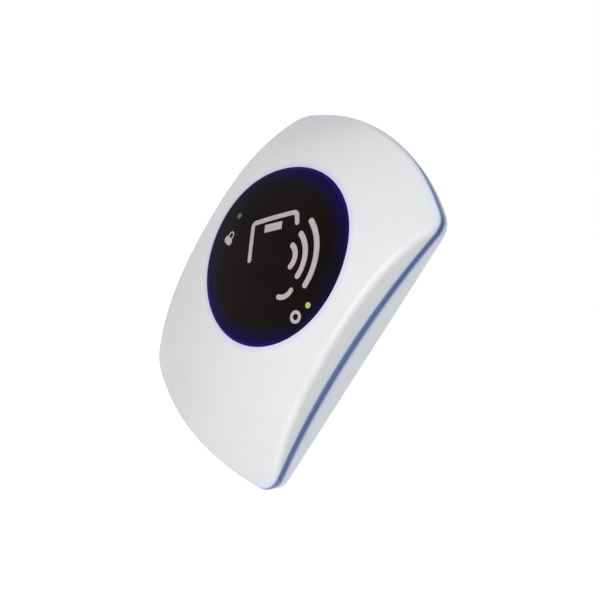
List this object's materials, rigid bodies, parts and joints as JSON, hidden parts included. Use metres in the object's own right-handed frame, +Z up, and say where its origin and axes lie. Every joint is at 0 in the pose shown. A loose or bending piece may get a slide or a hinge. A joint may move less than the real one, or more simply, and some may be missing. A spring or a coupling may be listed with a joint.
{
  "type": "rfid card reader",
  "caption": "Wall-mounted proximity card reader: arched white housing, round black window, blue light-guide parting line, front that hooks on and swings open.",
  "frame": {"origin": "on the wall plane, midway between the two upright fixing slots", "axes": "+Z up the wall, +Y into the wall, +X to the right as seen from the front; the window faces -Y"},
  "size_m": [0.0766, 0.0229, 0.1141],
  "materials": {
    "housing_plastic": "gloss white moulding",
    "base_plastic": "pale cool white moulding",
    "guide_plastic": "blue light guide",
    "halo_plastic": "dark blue",
    "window": "black window",
    "tape": "adhesive film",
    "board": "green solder mask",
    "black_plastic": "black moulding",
    "grey_plastic": "grey moulding",
    "connector_plastic": "natural nylon",
    "switch_plastic": "black switch",
    "clear_plastic": "clear acrylic",
    "led_body": "white LED body",
    "coil_wire": "enamelled copper winding",
    "can_metal": "plain can",
    "screw_steel": "plated steel",
    "spring_steel": "spring wire",
    "brass": "plain brass",
    "grommet_rubber": "soft rubber"
  },
  "bodies": {
    "wall_base": {"rear_base": "base_plastic", "cable_grommet": "grommet_rubber", "tamper_cage": "grey_plastic", "tamper_spring": "spring_steel"},
    "plunger": {"tamper_pin": "grey_plastic"},
    "front_unit": {"antenna_coil": "coil_wire", "board_screws": "screw_steel", "buzzer": "black_plastic", "circuit_board": "board", "coil_bobbin": "grey_plastic", "connector_pins": "brass", "controller_chip": "black_plastic", "crystal": "can_metal", "filter_capacitor": "can_metal", "front_cover": "housing_plastic", "halo_ring": "halo_plastic", "lens_disc": "window", "lens_tape": "tape", "light_pipe_left": "clear_plastic", "light_pipe_right": "clear_plastic", "lock_insert": "brass", "power_inductor": "black_plastic", "reader_chip": "black_plastic", "seam_led_1": "led_body", "seam_led_2": "led_body", "seam_led_3": "led_body", "seam_led_4": "led_body", "seam_light_guide": "guide_plastic", "status_led_left": "led_body", "status_led_right": "led_body", "tamper_switch": "switch_plastic", "voltage_regulator": "black_plastic", "wire_connector": "connector_plastic"},
    "security_screw": {"lock_screw": "screw_steel"}
  },
  "joints": [
    {"name": "front_swing", "type": "hinge", "parent": "wall_base", "child": "front_unit", "pos_m": [0, -0.0026, 0.0588], "axis": [-1, 0, 0], "range_deg": [0, 25]},
    {"name": "lock_travel", "type": "slide", "parent": "front_unit", "child": "security_screw", "axis": [0, 0, 1], "range_m": [0, 0.003]},
    {"name": "tamper_press", "type": "slide", "parent": "wall_base", "child": "plunger", "axis": [0, -1, 0], "range_m": [0, 0.0012], "stiffness_N_per_m": 400, "springref_m": -0.0008, "deforming": ["tamper_spring"]}
  ]
}
